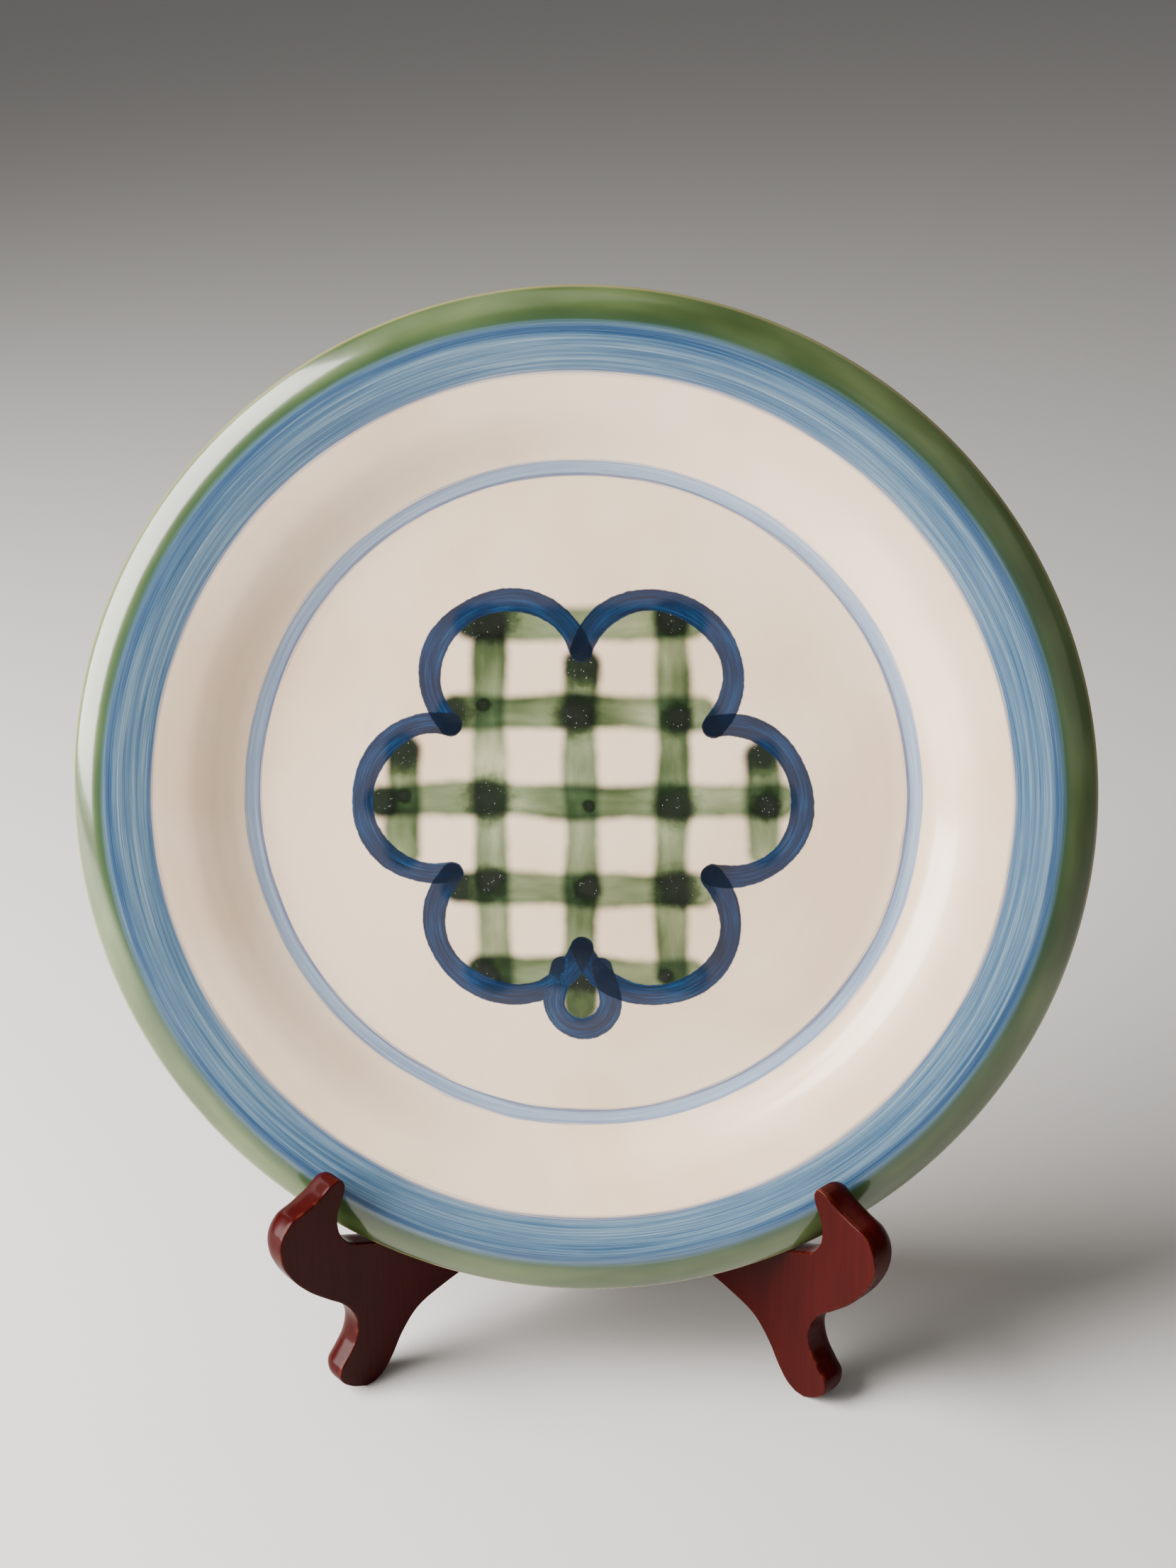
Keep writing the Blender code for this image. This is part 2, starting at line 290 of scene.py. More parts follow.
def lobe_turns():
    """Directions of the lobes, in order round the clover."""
    return [2 * math.pi * k / LOBE_COUNT for k in range(LOBE_COUNT)]


def lobe_stroke(turn):
    """Arc round one lobe, from where it meets one neighbour to where it meets the other."""
    half = math.pi / LOBE_COUNT
    depth = LOBE_RADIUS ** 2 - (LOBE_REACH * math.sin(half)) ** 2
    reach = LOBE_REACH * math.cos(half) + math.sqrt(depth)
    meet = reach * heading(half) - LOBE_REACH * heading(0)
    swing = math.atan2(meet[1], meet[0]) + LOBE_OVERLAP
    sweep = np.linspace(-swing, swing, 13)
    radius = LOBE_RADIUS + LOBE_SWAY * np.sin(3 * sweep + chance.uniform(0, 2 * math.pi))
    middle = LOBE_REACH * heading(turn)
    return [middle + r * heading(turn + s) for r, s in zip(radius, sweep)]


def outline_strokes():
    """The outline's brush strokes in two coats, so that touching ends lie on each other."""
    strokes = [lobe_stroke(turn) for turn in lobe_turns()]
    bend = STALK_END + STALK_RADIUS
    stalk = [(-STALK_NECK, STALK_TOP)]
    for swing in np.linspace(0, math.pi, 9):
        stalk.append((-STALK_RADIUS * math.cos(swing), bend - STALK_RADIUS * math.sin(swing)))
    stalk.append((STALK_NECK, STALK_TOP))
    return strokes[0::2] + [stalk], strokes[1::2]


def in_clover(x, y):
    """Whether a place on the plate lies inside the outline."""
    lobes = [LOBE_REACH * heading(turn) for turn in lobe_turns()]
    if any(math.hypot(x - cx, y - cy) < LOBE_RADIUS for cx, cy in lobes):
        return True
    in_stalk = abs(x) < STALK_RADIUS and STALK_END < y < 0
    return math.hypot(x, y) < HUB_RADIUS or in_stalk


def check_stroke(level, flat):
    """One straight wash of the check, along x where flat and along y elsewhere."""
    inside = [s for s in np.arange(-WELL_RADIUS, WELL_RADIUS, 0.5)
              if in_clover(*((s, level) if flat else (level, s)))]
    start = inside[0] + CHECK_MARGIN + chance.uniform(*CHECK_RAGGED)
    end = inside[-1] - CHECK_MARGIN - chance.uniform(*CHECK_RAGGED)
    # brushed from left to right, or from the top down
    run = np.linspace(start, end, 5) if flat else np.linspace(end, start, 5)
    path = [(s, level + chance.uniform(-CHECK_SWAY, CHECK_SWAY)) for s in run]
    return path if flat else [(across, s) for s, across in path]


COLUMNS = [CHECK_STEP * k for k in (-2, -1, 0, 1, 2)]
ROWS = COLUMNS[::-1]                # from the top down
OUTLINE_A, OUTLINE_B = outline_strokes()
CHECK_DOWN = [check_stroke(x, False) for x in COLUMNS]
CHECK_ACROSS = [check_stroke(y, True) for y in ROWS]
# paint gathers where two washes cross and where each of them starts: x, y, size
POOLS = [(x + chance.uniform(-2, 2), y + chance.uniform(-2, 2), chance.uniform(1.5, 9.0))
         for x in COLUMNS for y in ROWS if in_clover(x, y)]
POOLS += [(*stroke[0], chance.uniform(4.0, 7.5)) for stroke in CHECK_DOWN + CHECK_ACROSS]
# every set of strokes: the name that the shaders know it by, paths, width and seed
STROKE_SETS = [("blue_a", OUTLINE_A, OUTLINE_WIDTH, 1.0),
               ("blue_b", OUTLINE_B, OUTLINE_WIDTH, 7.0),
               ("down", CHECK_DOWN, CHECK_WIDTH, 3.0),
               ("across", CHECK_ACROSS, CHECK_WIDTH, 5.0)]
WIDTH_SWAY = 0.06                   # share by which a stroke's width varies
OFF_STROKE = 20.0                   # stored as the edge distance where no stroke is near
OFF_END = 50.0                      # stored as the length left where no stroke is near

SEGMENTS = 360
RING_PITCH = 1.0
RING_SLACK = 0.15                   # share of the pitch by which rings may lie wider apart
WOBBLE_START = 90.0                 # the wobble grows from this radius outwards
WOBBLE_RUN = 50.0


def plate_profile():
    """Half section of the plate with rings about a millimetre apart."""
    bend = smooth_path(PLATE_SECTION, 7)
    profile = [bend[0]]
    for point in bend[1:]:
        last = profile[-1]
        parts = max(1, math.ceil(np.linalg.norm(point - last) / RING_PITCH - RING_SLACK))
        profile += [last + (point - last) * k / parts for k in range(1, parts + 1)]
    profile = np.array(profile)
    profile[0][0] = 0.0
    profile[-1][0] = 0.0
    return profile


def plate_mesh(mat):
    """The turned plate, with what its shaders need to know stored on its vertices."""
    profile = plate_profile()
    rings = profile[1:-1]
    count = len(rings)
    turn = np.arange(SEGMENTS) * 2 * math.pi / SEGMENTS
    # a hand-thrown wobble, at most 0.25 mm inside and 0.05 mm outside the true outline
    wobble = 0.10 * np.sin(2 * turn + 0.7) + 0.05 * np.sin(3 * turn + 2.1) - 0.1
    grow = np.clip((rings[:, 0] - WOBBLE_START) / WOBBLE_RUN, 0, 1)
    radius = rings[:, :1] + grow[:, None] * wobble[None, :]
    x = np.concatenate([(radius * np.cos(turn)).ravel(), [0, 0]])
    y = np.concatenate([(radius * np.sin(turn)).ravel(), [0, 0]])
    z = np.concatenate([np.repeat(rings[:, 1], SEGMENTS), profile[[0, -1], 1]])
    top, bottom = count * SEGMENTS, count * SEGMENTS + 1
    faces = []
    for k in range(SEGMENTS):
        j = (k + 1) % SEGMENTS
        last = (count - 1) * SEGMENTS
        faces.append((top, k, j))
        faces.append((last + j, last + k, bottom))
        for a in range(0, last, SEGMENTS):
            b = a + SEGMENTS
            faces.append((a + k, b + k, b + j, a + j))
    sin, cos = math.sin(PLATE_LEAN), math.cos(PLATE_LEAN)
    up = z - RIM_HEIGHT
    world = np.stack([x, sin * y - cos * up, cos * y + sin * up], 1) * MM
    obj = new_piece("painted_plate", world + np.array(PLATE_CENTRE), faces, mat)
    mesh = obj.data
    radius = np.hypot(x, y)
    ring_index = np.concatenate([np.repeat(np.arange(count), SEGMENTS), [0, count]])
    under = ring_index > int(np.argmax(rings[:, 0]))
    put(mesh, "radius", radius)
    put(mesh, "under", under.astype(float))
    put(mesh, "height", z)
    put(mesh, "place", np.stack([x, y, z], 1))
    put(mesh, "round", np.stack([x, y, 0 * x], 1) / np.maximum(radius, 1e-6)[:, None])
    well = (~under) & (radius < WELL_RADIUS)
    points = np.stack([x, y], 1)
    for name, paths, width, seed in STROKE_SETS:
        put_strokes(mesh, name, points, well, paths, width, seed)
    pool = np.zeros(len(points))
    for px, py, size in POOLS:
        pool = np.maximum(pool, np.exp(-(np.hypot(x - px, y - py) / size) ** POOL_FALLOFF))
    put(mesh, "pool", pool * well)
    return obj


def put_strokes(mesh, name, points, well, paths, width, seed):
    """Store, for each point, its place in the nearest brush stroke: distance outside the
    stroke's edge, length along it, place across it, the stroke's key and the length left."""
    edge = np.full(len(points), OFF_STROKE)
    line = np.zeros((len(points), 3))
    left = np.full(len(points), OFF_END)
    own = points[well]
    near = edge[well]
    own_line = line[well]
    own_left = left[well]
    half = width / 2
    for k, path in enumerate(paths):
        away, side, along, total = along_path(own, smooth_path(path, 8))
        sway = np.sin(along * 0.21 + k * 2.3 + seed)
        distance = away - half * (1 + WIDTH_SWAY * sway)
        take = distance < near
        near[take] = distance[take]
        own_line[take] = np.stack([along, side / half, np.full(len(own), k + seed)], 1)[take]
        own_left[take] = (total - along)[take]
    edge[well] = near
    line[well] = own_line
    left[well] = own_left
    put(mesh, name + "_edge", edge)
    put(mesh, name + "_line", line)
    put(mesh, name + "_left", left)


CREAM = srgb(244, 219, 192)
CREAM_DEEP = srgb(235, 206, 175)
# the radii between which each fade, ring and brush stroke of the rim lies
BLUE_FADE = (116.6, 118.6)
BLUE_FIRST_STROKE = (117.4, 118.6)
BLUE_LAST_STROKE = (128.0, 130.2)
THIN_RING = (89.8, 94.2)
THIN_FIRST_STROKE = (89.5, 90.6)
THIN_LAST_STROKE = (93.4, 94.2)
LIP_FADE_TOP = (129.4, 131.8)
LIP_FADE_UNDER = (134.3, 136.3)
LIP_OVER_BLUE = (130.4, 135.0)
# the outermost edge: partly glaze breaking thin, partly a painted highlight
LIP_EDGE_THIN_GLAZE_AND_HIGHLIGHT = (138.9, 139.8)


def cream_glaze(t, place):
    """Warm cream with a very slow drift, a faint mottle and tiny iron specks."""
    drift = t.step(t.noise(place, 0.02, 3.0, 0.5, 0.3), 0.35, 0.7)
    cream = t.mix(drift, CREAM, CREAM_DEEP)
    mottle = t.step(t.noise(place, 0.9, 3.0, 0.6), 0.5, 0.8)
    cream = t.mix(t.mul(mottle, 0.05), cream, srgb(200, 184, 164))
    speck = t.step(t.cells(place, 0.11), 0.010, 0.026, 1.0, 0.0)
    some = t.math("GREATER_THAN", t.noise(place, 0.4, 0.0), 0.54)
    return t.mix(t.mul(t.mul(speck, some), 0.55), cream, srgb(120, 100, 78))


def wash(t, place, name):
    """Cover and depth of one set of the check's soft green washes."""
    along, side, key = t.split(t.attr(name + "_line", True))
    edge = t.attr(name + "_edge")
    ragged = t.noise(place, 0.14, 3.0, 0.5)
    edge = t.add(edge, t.mul(t.add(ragged, -0.5), 1.3))
    cover = t.step(edge, -2.4, 0.9, 1.0, 0.0)
    brush = t.join(t.mul(along, 0.06), t.mul(side, 1.1), t.mul(key, 3.7))
    tone = t.noise(brush, 1.2, 3.0, 0.5, 0.2)
    slow = t.noise(t.join(t.mul(along, 0.045), t.mul(side, 0.2), t.mul(key, 5.1)), 1.0, 1.0)
    amount = t.add(t.mul(tone, 0.30), t.mul(slow, 0.78))
    # a little more paint along the edges, and where the brush was set down
    amount = t.add(amount, t.mul(t.band(edge, -3.0, -1.2, 1.2), 0.06))
    amount = t.add(amount, t.step(along, 1.0, 12.0, 0.24, 0.0))
    return cover, amount


def cobalt(t, place, name):
    """Cover and depth of one coat of the cobalt outline."""
    along, side, key = t.split(t.attr(name + "_line", True))
    edge = t.attr(name + "_edge")
    edge = t.add(edge, t.mul(t.add(t.noise(place, 0.6, 2.0, 0.5), -0.5), 0.5))
    cover = t.step(edge, -0.20, 0.18, 1.0, 0.0)
    brush = t.join(t.mul(along, 0.05), t.mul(side, 4.2), t.mul(key, 3.1))
    tone = t.noise(brush, 1.5, 4.0, 0.62, 0.1)
    slow = t.noise(t.join(t.mul(along, 0.05), t.mul(side, 0.6), key), 1.0, 2.0, 0.5)
    amount = t.add(t.mul(tone, 0.60), t.mul(slow, 0.45))
    # a little more paint along the edges and at both ends of a stroke
    amount = t.add(amount, t.mul(t.band(edge, -0.9, -0.1, 0.4), 0.03))
    amount = t.add(amount, t.step(along, 0.0, 7.0, 0.20, 0.0))
    amount = t.add(amount, t.step(t.attr(name + "_left"), 0.0, 5.0, 0.12, 0.0))
    return cover, amount


def rim_bands(t, cream, radius, turn_x, turn_y, under):
    """Streaky blue band and thin ring, and the green lip over the edge."""
    def ring(turns, across):
        """Place for a noise that is drawn out round the rim."""
        return t.join(t.mul(turn_x, turns), t.mul(turn_y, turns), t.mul(radius, across))

    top = t.math("SUBTRACT", 1.0, under)
    streak = t.noise(ring(1.5, 0.75), 1.0, 5.0, 0.72, 0.12)
    hair = t.noise(ring(2.6, 4.0), 1.0, 3.0, 0.65)
    broad = t.noise(ring(1.9, 0.22), 1.0, 2.0, 0.5)
    wander = t.noise(ring(1.6, 0.0), 1.0, 3.0, 0.6)
    strength = t.add(t.mul(streak, 0.46), t.add(t.mul(hair, 0.38), t.mul(broad, 0.16)))
    # brush edges wander slowly and break up into the streaks
    edge = t.add(radius, t.mul(t.add(wander, -0.5), 1.6))
    edge = t.add(edge, t.mul(t.add(hair, -0.5), 2.4))

    blue = t.ramp(strength, [(0.38, srgb(124, 146, 160)), (0.50, srgb(80, 108, 133)),
                             (0.62, srgb(42, 73, 104))])
    blue = t.mix(t.mul(t.band(edge, *BLUE_FIRST_STROKE, 0.5), 0.45), blue, srgb(44, 82, 130))
    blue = t.mix(t.mul(t.band(edge, *BLUE_LAST_STROKE, 0.9), 0.55), blue, srgb(20, 50, 92))
    colour = t.mix(t.mul(t.step(edge, *BLUE_FADE), top), cream, blue)

    thin = t.mul(t.band(edge, *THIN_RING, 0.4), top)
    thin_tone = t.ramp(strength, [(0.40, srgb(138, 164, 190)), (0.58, srgb(92, 126, 166))])
    first = t.mul(t.band(edge, *THIN_FIRST_STROKE, 0.35), 0.85)
    thin_tone = t.mix(first, thin_tone, srgb(24, 64, 118))
    last = t.mul(t.band(edge, *THIN_LAST_STROKE, 0.3), 0.45)
    thin_tone = t.mix(last, thin_tone, srgb(50, 90, 138))
    colour = t.mix(t.mul(thin, 0.88), colour, thin_tone)

    lip_edge = t.add(radius, t.mul(t.add(wander, -0.5), 2.0))
    lip_top = t.mul(t.step(lip_edge, *LIP_FADE_TOP), top)
    lip_under = t.mul(t.step(lip_edge, *LIP_FADE_UNDER), under)
    lip = t.math("MAXIMUM", lip_top, lip_under)
    cloud = t.noise(ring(3.0, 0.10), 1.0, 2.0, 0.5)
    sage = t.ramp(cloud, [(0.34, srgb(86, 102, 62)), (0.52, srgb(65, 82, 44)),
                          (0.68, srgb(50, 67, 33))])
    sage = t.mix(t.mul(t.step(hair, 0.50, 0.72), 0.14), sage, srgb(62, 82, 38))
    sage = t.mix(t.step(lip_edge, *LIP_OVER_BLUE, 0.72, 0.0), sage, srgb(34, 62, 44))
    # the outermost edge lighter: partly glaze breaking thin, partly a painted highlight
    sage = t.mix(t.mul(t.step(radius, *LIP_EDGE_THIN_GLAZE_AND_HIGHLIGHT), 0.5), sage, srgb(170, 156, 112))
    return t.mix(lip, colour, sage)


def plate_material():
    """The glaze with all its paint, from the cream ground up to the cobalt outline."""
    t = Tree("painted_glaze")
    place = t.attr("place", True)
    radius = t.attr("radius")
    under = t.attr("under")
    turn_x, turn_y, _ = t.split(t.attr("round", True))
    colour = rim_bands(t, cream_glaze(t, place), radius, turn_x, turn_y, under)

    # the check: two layers of wash, dark where the paint gathers
    gathered = t.add(t.attr("pool"), t.mul(t.add(t.noise(place, 0.3, 4.0, 0.6), -0.5), 0.7))
    pooled = t.mul(t.step(gathered, 0.14, 0.95), 0.26)
    covers = []
    for name in ("down", "across"):
        cover, amount = wash(t, place, name)
        ink = t.ramp(t.add(amount, pooled), [(0.34, srgb(178, 198, 186)),
                                             (0.52, srgb(126, 153, 132)),
                                             (0.74, srgb(72, 98, 70)),
                                             (0.98, srgb(28, 48, 32))])
        colour = t.mix(cover, colour, t.mix(1.0, colour, ink, "MULTIPLY"))
        covers.append(cover)
    covered = t.math("MAXIMUM", *covers)
    dark = t.mul(t.step(gathered, 0.36, 1.10), covered)
    colour = t.mix(t.mul(dark, 0.78), colour, srgb(20, 27, 16))
    grain = t.step(t.cells(place, 1.15), 0.12, 0.26, 1.0, 0.0)
    some = t.math("GREATER_THAN", t.noise(place, 0.7, 1.0), 0.52)
    grains = t.mul(t.mul(grain, some), t.mul(t.step(gathered, 0.62, 0.8), covered))
    colour = t.mix(t.mul(grains, 0.70), colour, srgb(128, 134, 134))

    # the outline: two coats, darker where they lie on each other
    raised = 0.0
    for name in ("blue_a", "blue_b"):
        cover, amount = cobalt(t, place, name)
        amount = t.add(amount, t.mul(t.mul(cover, raised), 0.22))
        paint = t.ramp(amount, [(0.36, srgb(13, 65, 105)), (0.50, srgb(1, 36, 71)),
                                (0.64, srgb(1, 21, 46)), (0.90, srgb(1, 11, 28))])
        colour = t.mix(t.mul(cover, 0.97), colour, paint)
        raised = t.add(raised, cover)

    # the foot ring stands on bare clay
    foot = t.mul(t.step(t.attr("height"), 0.5, 1.3, 1.0, 0.0), under)
    clay = t.mix(t.noise(place, 0.8, 4.0, 0.7), srgb(188, 162, 132), srgb(158, 128, 98))
    colour = t.mix(foot, colour, clay)

    rough = t.add(0.16, t.mul(t.noise(place, 0.06, 3.0, 0.5), 0.09))
    rough = t.add(rough, t.mul(dark, 0.12))
    rough = t.add(rough, t.mul(foot, 0.55))
    # relief: orange peel, slow throwing rings, slightly raised paint
    rings = t.noise(t.join(t.mul(turn_x, 0.5), t.mul(turn_y, 0.5), t.mul(radius, 0.20)), 1.0, 1.0)
    relief = t.add(t.mul(t.noise(place, 0.22, 2.0, 0.5), 0.10), t.mul(rings, 0.30))
    relief = t.add(relief, t.mul(raised, 0.05))
    relief = t.add(relief, t.mul(grains, 0.06))
    t.set(Base_Color=colour, Roughness=rough, Normal=t.bump(relief, 0.5, 0.0006),
          Coat_Weight=0.55, Coat_Roughness=0.08, IOR=1.5)
    return t.mat


# ---- the stand's boards ---------------------------------------------------------------
BOARD_STRETCHES = [
    ("line", [(3.3, 0), (13.0, 0)]),
    ("curve", [(13.0, 0), (16.0, 2.6), (20.0, 8.5), (27.0, 15.0), (37.0, 20.2),
               (49.0, 22.3), (60.0, 20.8), (69.5, 17.8), (75.5, 12.0), (79.5, 5.8),
               (83.0, 1.8), (86.5, 0)]),
    ("line", [(86.5, 0), (89.8, 0)]),
    ("curve", [(89.8, 0), (94.6, 2.6), (97.9, 6.2), (98.0, 9.9), (95.2, 13.4),
               (92.3, 17.3), (91.0, 22.6), (91.9, 27.3), (94.9, 32.2), (99.9, 36.7),
               (106.0, 42.5), (111.3, 49.6), (114.3, 57.0), (113.9, 63.2),
               (110.2, 67.9), (104.5, 69.8), (99.5, 71.8), (95.4, 74.2), (92.8, 74.2),
               (91.6, 72.0), (92.3, 68.8), (94.0, 65.6), (95.0, 61.5), (94.4, 56.7),
               (91.6, 52.4), (86.0, 49.4), (79.5, 47.0), (73.5, 47.2), (67.0, 51.4)]),
    ("line", [(67.0, 51.4), (46.6, 72.0)]),
    ("curve", [(46.6, 72.0), (41.3, 77.3), (38.1, 84.0)]),
    ("line", [(38.1, 84.0), (20.3, 150.5)]),
    ("curve", [(20.3, 150.5), (17.1, 155.0), (11.8, 156.8), (6.0, 155.5), (2.9, 151.8),
               (2.3, 148.0)]),
    ("line", [(2.3, 148.0), (2.3, 2.0)]),
    ("curve", [(2.3, 2.0), (2.6, 0.6), (3.3, 0)]),
]
OUTLINE_PITCH = 0.8                 # between vertices along the outline
GRID_PITCH = 1.2                    # between vertices inside it
ARRIS = 0.45                        # radius of the crisp inner edge
ROUND = 6.5                         # radius of the rounded outer edge
HINGE_ROUND = 1.4                   # the same, where the leaves are screwed on
HINGE_RUN = (2.3, 8.0)              # reach over which the one goes over into the other
FOOT_ROUND = 0.5                    # share of the rounding that is left at the very foot
FOOT_RUN = 3.0                      # height over which the rounding grows to its full size
EDGE_STRIPS = 4                     # of faces between the inner and the outer face
ARRIS_WEAR_AND_HIGHLIGHT = 0.35                   # how far the paler line along the inner edge reaches in: partly rubbed wear, partly a painted highlight
EDGE_ROWS = (0.08, 0.2, 0.35, 0.6, 1.0, 1.6, 2.4, 3.3, 4.3, 5.4, 6.6)


def board_outline():
    """The board's outline as evenly spaced points, reach and height from the hinge line."""
    out = []
    for kind, given in BOARD_STRETCHES:
        path = smooth_path(given, 24) if kind == "curve" else np.array(given, float)
        seg = np.linalg.norm(np.diff(path, axis=0), axis=1)
        run = np.concatenate([[0], np.cumsum(seg)])
        count = max(2, int(round(run[-1] / OUTLINE_PITCH)))
        for k in range(count):
            s = run[-1] * k / count
            out.append((np.interp(s, run, path[:, 0]), np.interp(s, run, path[:, 1])))
    return np.array(out)


def edge_distance(points, outline):
    """Distance of each point to the closed outline, and whether it lies inside."""
    best = np.full(len(points), 1e9)
    crossings = np.zeros(len(points), int)
    for p, q in zip(outline, np.roll(outline, -1, axis=0)):
        d = q - p
        t = np.clip(((points - p) @ d) / (d @ d), 0, 1)
        near = points - p - t[:, None] * d
        best = np.minimum(best, np.hypot(near[:, 0], near[:, 1]))
        spans = (p[1] > points[:, 1]) != (q[1] > points[:, 1])
        if abs(d[1]) > 1e-12:
            cut = p[0] + (points[:, 1] - p[1]) * d[0] / d[1]
            crossings += (spans & (points[:, 0] < cut)).astype(int)
    return best, crossings % 2 == 1


def round_over(distance, radius):
    """How far a rounded edge falls back from the face at a distance from the outline."""
    inside = np.clip(radius - distance, 0, radius)
    return radius - np.sqrt(np.maximum(radius ** 2 - inside ** 2, 0))


def board_face(outline):
    """Flat triangulation of the board: vertices, triangles and the outline's vertices."""
    low, high = outline.min(0), outline.max(0)
    gx, gy = np.meshgrid(np.arange(low[0], high[0], GRID_PITCH),
                         np.arange(low[1], high[1], GRID_PITCH))
    gx = gx + GRID_PITCH / 2 * (np.arange(gx.shape[0]) % 2)[:, None]
    grid = np.stack([gx.ravel(), gy.ravel()], 1)
    distance, inside = edge_distance(grid, outline)
    seeds = [grid[inside & (distance > EDGE_ROWS[-1] + 0.5)]]
    # rows of points that follow the edge, close together where the edge is rounded
    tangent = np.roll(outline, -1, 0) - np.roll(outline, 1, 0)
    tangent /= np.linalg.norm(tangent, axis=1)[:, None]
    inward = np.stack([-tangent[:, 1], tangent[:, 0]], 1)
    for depth in EDGE_ROWS:
        row = outline + inward * depth
        distance, inside = edge_distance(row, outline)
        seeds.append(row[inside & (distance > depth * 0.97)])
    count = len(outline)
    given = [Vector(point) for point in np.vstack([outline] + seeds)]
    edges = [(i, (i + 1) % count) for i in range(count)]
    verts, _, faces, sources, _, _ = delaunay_2d_cdt(given, edges, [], 1, 1e-5)
    rim = [None] * count
    for index, origins in enumerate(sources):
        for origin in origins:
            if origin < count:
                rim[origin] = index
    return np.array([tuple(v) for v in verts]), [tuple(f) for f in faces], rim


def board_mesh(name, side, mat):
    """One board of the stand, the left one with side -1 and the right one with side 1."""
    outline = board_outline()
    flat, face, rim = board_face(outline)
    distance, _ = edge_distance(flat, outline)
    distance[rim] = 0.0
    outer_round = np.interp(flat[:, 0], HINGE_RUN, [HINGE_ROUND, ROUND])
    outer_round = outer_round * np.interp(flat[:, 1], [0, FOOT_RUN], [FOOT_ROUND, 1.0])
    inner = BOARD_INNER + round_over(distance, ARRIS)
    outer = BOARD_OUTER - round_over(distance, outer_round)
    inner_points = np.stack([flat[:, 0], inner, flat[:, 1]], 1)
    outer_points = np.stack([flat[:, 0], outer, flat[:, 1]], 1)
    total = len(flat)
    faces = face + [tuple(i + total for i in reversed(f)) for f in face]
    # the edge between both faces, in strips
    rows = [np.array(rim)]
    middle = []
    for k in range(1, EDGE_STRIPS):
        rows.append(2 * total + len(rim) * (k - 1) + np.arange(len(rim)))
        across = (outer_points[rim] - inner_points[rim]) * k / EDGE_STRIPS
        middle.append(inner_points[rim] + across)
    rows.append(np.array(rim) + total)
    for a, b in zip(rows, rows[1:]):
        a_next, b_next = np.roll(a, -1), np.roll(b, -1)
        faces += [tuple(f) for f in np.stack([a_next, a, b, b_next], 1).tolist()]
    local = np.vstack([inner_points, outer_points] + middle)
    sin, cos = math.sin(BOARD_SPREAD), math.cos(BOARD_SPREAD)
    world = np.stack([side * (local[:, 0] * sin + local[:, 1] * cos),
                      HINGE_Y - local[:, 0] * cos + local[:, 1] * sin,
                      local[:, 2]], 1) * MM
    if side > 0:
        faces = [tuple(reversed(f)) for f in faces]
    obj = new_piece(name, world, faces, mat)
    put(obj.data, "board", local)
    # a paler line along the crisp inner edge: partly rubbed wear, partly a painted highlight
    arris_wear_and_highlight = np.zeros(len(local))
    arris_wear_and_highlight[:total] = np.exp(-(distance / ARRIS_WEAR_AND_HIGHLIGHT) ** 2)
    put(obj.data, "arris", arris_wear_and_highlight)
    return obj


def wood_material(name, offset):
    """Deep red-brown stain under a satin lacquer, with a faint upright grain."""
    t = Tree(name)
    board = t.scaled(t.attr("board", True), (1, 1, 1), offset)
    drift = t.noise(t.scaled(board, (0.03, 0.05, 0.010)), 1.0, 3.0, 0.55)
    long_grain = t.noise(t.scaled(board, (0.8, 0.8, 0.030)), 1.0, 4.0, 0.6, 0.5)
    pores = t.noise(t.scaled(board, (3.0, 3.0, 0.14)), 1.0, 3.0, 0.7)
    figure = t.add(t.mul(drift, 0.6), t.mul(long_grain, 0.4))
    colour = t.ramp(figure, [(0.36, srgb(43, 3, 2)), (0.52, srgb(51, 4, 3)),
                             (0.68, srgb(60, 6, 4))])
    colour = t.mix(t.mul(t.step(pores, 0.54, 0.72), 0.12), colour, srgb(30, 4, 3))
    # paler patches along the crisp inner edge: partly rubbed wear, partly a painted highlight
    rubbed_and_highlight = t.step(t.noise(board, 0.30, 4.0, 0.65), 0.44, 0.62)
    colour = t.mix(t.mul(t.mul(t.attr("arris"), rubbed_and_highlight), 0.16), colour, srgb(150, 78, 54))
    smudge = t.noise(board, 0.08, 4.0, 0.6)
    rough = t.add(0.30, t.mul(smudge, 0.12))
    rough = t.add(rough, t.mul(t.step(pores, 0.5, 0.7), 0.06))
    relief = t.add(t.mul(pores, -0.16), t.mul(long_grain, 0.12))
    relief = t.add(relief, t.mul(t.noise(board, 0.5, 3.0, 0.5), 0.16))
    t.set(Base_Color=colour, Roughness=rough, Normal=t.bump(relief, 0.3, 0.0004),
          Coat_Weight=0.12, Coat_Roughness=0.16, Specular_IOR_Level=0.03)
    return t.mat


def brass_material(name, seed):
    """Brushed brass with a thin, uneven tarnish."""
    t = Tree(name)
    coords = t.nodes.new("ShaderNodeTexCoord").outputs["Object"]
    place = t.scaled(coords, (1 / MM, 1 / MM, 1 / MM), (seed, seed * 2, 0))
    tarnish = t.noise(place, 0.35, 4.0, 0.6, 0.4)
    brush = t.noise(t.scaled(place, (1, 1, 9)), 0.9, 3.0, 0.6)
    colour = t.ramp(tarnish, [(0.3, srgb(214, 178, 104)), (0.55, srgb(190, 150, 80)),
                              (0.8, srgb(128, 94, 48))])
    rough = t.add(0.24, t.mul(t.add(tarnish, brush), 0.14))
    normal = t.bump(brush, 0.2, 0.00008)
    t.set(Base_Color=colour, Metallic=1.0, Roughness=rough, Normal=normal)
    return t.mat


# ---- the pieces -----------------------------------------------------------------------
plate = plate_mesh(plate_material())
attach(plate, "plate_body")
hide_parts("plate")

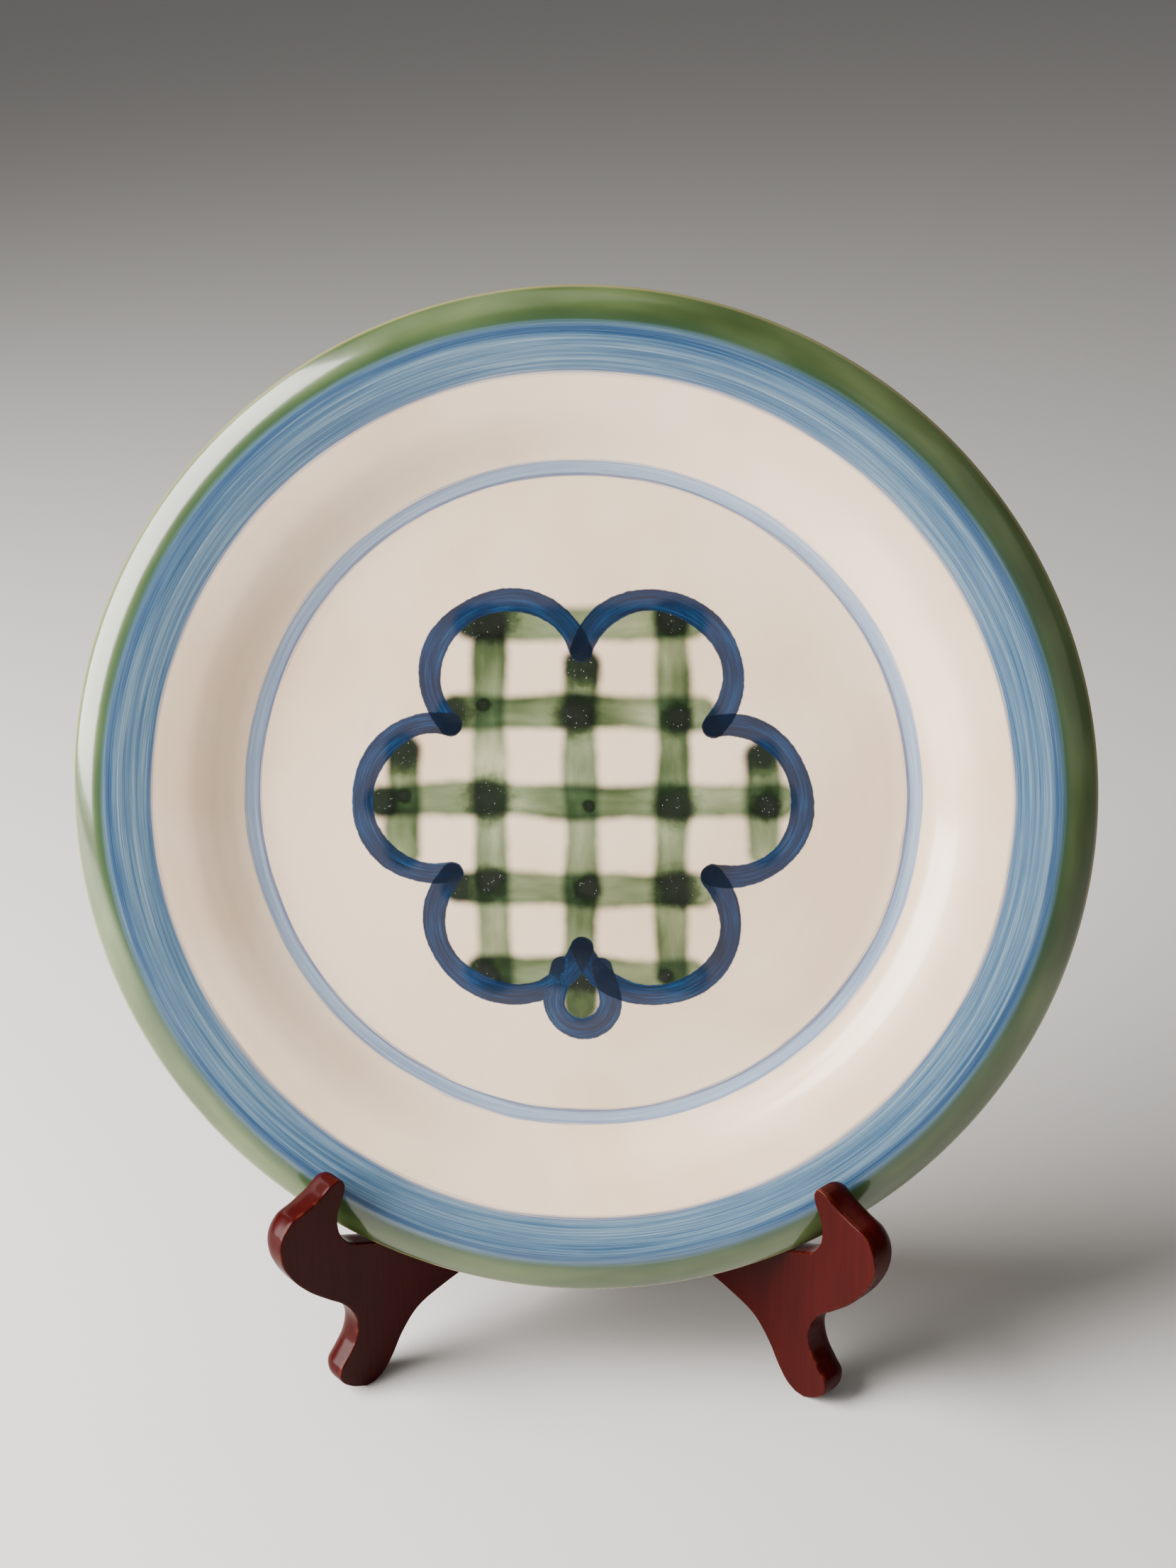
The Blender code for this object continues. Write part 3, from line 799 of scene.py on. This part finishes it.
left = board_mesh("left_stand_board", -1, wood_material("stained_wood_left", (40, 7, 3)))
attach(left, "left_half")
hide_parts("left_board")
right = board_mesh("right_stand_board", 1, wood_material("stained_wood_right", (0, 0, 61)))
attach(right, "right_half")
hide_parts("right_board")

# the hinges and screws keep the CAD's meshes, each kind in a brass of its own
for kind, seed in (("leaf", 3.0), ("pin", 11.0), ("screw", 23.0)):
    brass = brass_material(kind + "_brass", seed)
    for node_name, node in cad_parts.items():
        if kind in node_name:
            for slot in node.material_slots:
                slot.material = brass

# ---- floor, light and camera ----------------------------------------------------------
# from here on, lengths are in metres unless MM turns them
FLOOR_REACH = 6
OBJECT_MIDDLE = Vector((0, 0, 0.15))
floor_tree = Tree("pale_floor")
floor_tree.set(Base_Color=(0.70, 0.69, 0.67, 1.0), Roughness=0.8)
corners = [(FLOOR_REACH * x, FLOOR_REACH * y, 0) for x, y in ((-1, -1), (1, -1), (1, 1), (-1, 1))]
floor = new_piece("floor", corners, [(0, 1, 2, 3)], floor_tree.mat)


def area_light(name, place, width, height, power, colour):
    """Rectangular light that faces the middle of the object."""
    data = bpy.data.lights.new(name, "AREA")
    data.shape = "RECTANGLE"
    data.size = width
    data.size_y = height
    data.energy = power
    data.color = colour
    obj = bpy.data.objects.new(name, data)
    obj.location = place
    aim = OBJECT_MIDDLE - Vector(place)
    obj.rotation_euler = aim.to_track_quat("-Z", "Y").to_euler()
    bpy.context.scene.collection.objects.link(obj)


area_light("window", (-0.90, -0.30, 0.60), 0.75, 1.1, 60.0, (1.0, 0.97, 0.93))
area_light("sky", (-0.35, -0.30, 1.45), 0.9, 0.7, 1.6, (1.0, 0.99, 0.97))
area_light("fill", (1.1, -1.2, 0.8), 1.2, 1.2, 1.8, (1.0, 0.96, 0.92))

studio = bpy.data.worlds.new("studio")
studio.use_nodes = True
background = studio.node_tree.nodes["Background"]
background.inputs["Color"].default_value = (0.84, 0.82, 0.80, 1)
background.inputs["Strength"].default_value = 0.20
bpy.context.scene.world = studio

AZIMUTH = math.radians(3.9)
ELEVATION = math.radians(25.2)
ROLL = math.radians(-1.2)
LENS = 50.97
SENSOR_WIDTH = 36.0
CAMERA_DISTANCE = 0.602
CAMERA_TARGET = PLATE_CENTRE + Vector((2.7, 0, 7.8)) * MM

back = Vector((math.sin(AZIMUTH) * math.cos(ELEVATION),
               -math.cos(AZIMUTH) * math.cos(ELEVATION), math.sin(ELEVATION)))
across = Vector((math.cos(AZIMUTH), math.sin(AZIMUTH), 0))
upward = back.cross(across)
rolled_x = across * math.cos(ROLL) + upward * math.sin(ROLL)
rolled_y = upward * math.cos(ROLL) - across * math.sin(ROLL)
camera_data = bpy.data.cameras.new("camera")
camera_data.lens = LENS
camera_data.sensor_width = SENSOR_WIDTH
camera_data.clip_start = 0.01
camera = bpy.data.objects.new("camera", camera_data)
turned = Matrix((rolled_x, rolled_y, back)).transposed().to_4x4()
camera.matrix_world = Matrix.Translation(CAMERA_TARGET + back * CAMERA_DISTANCE) @ turned
bpy.context.scene.collection.objects.link(camera)
bpy.context.scene.camera = camera
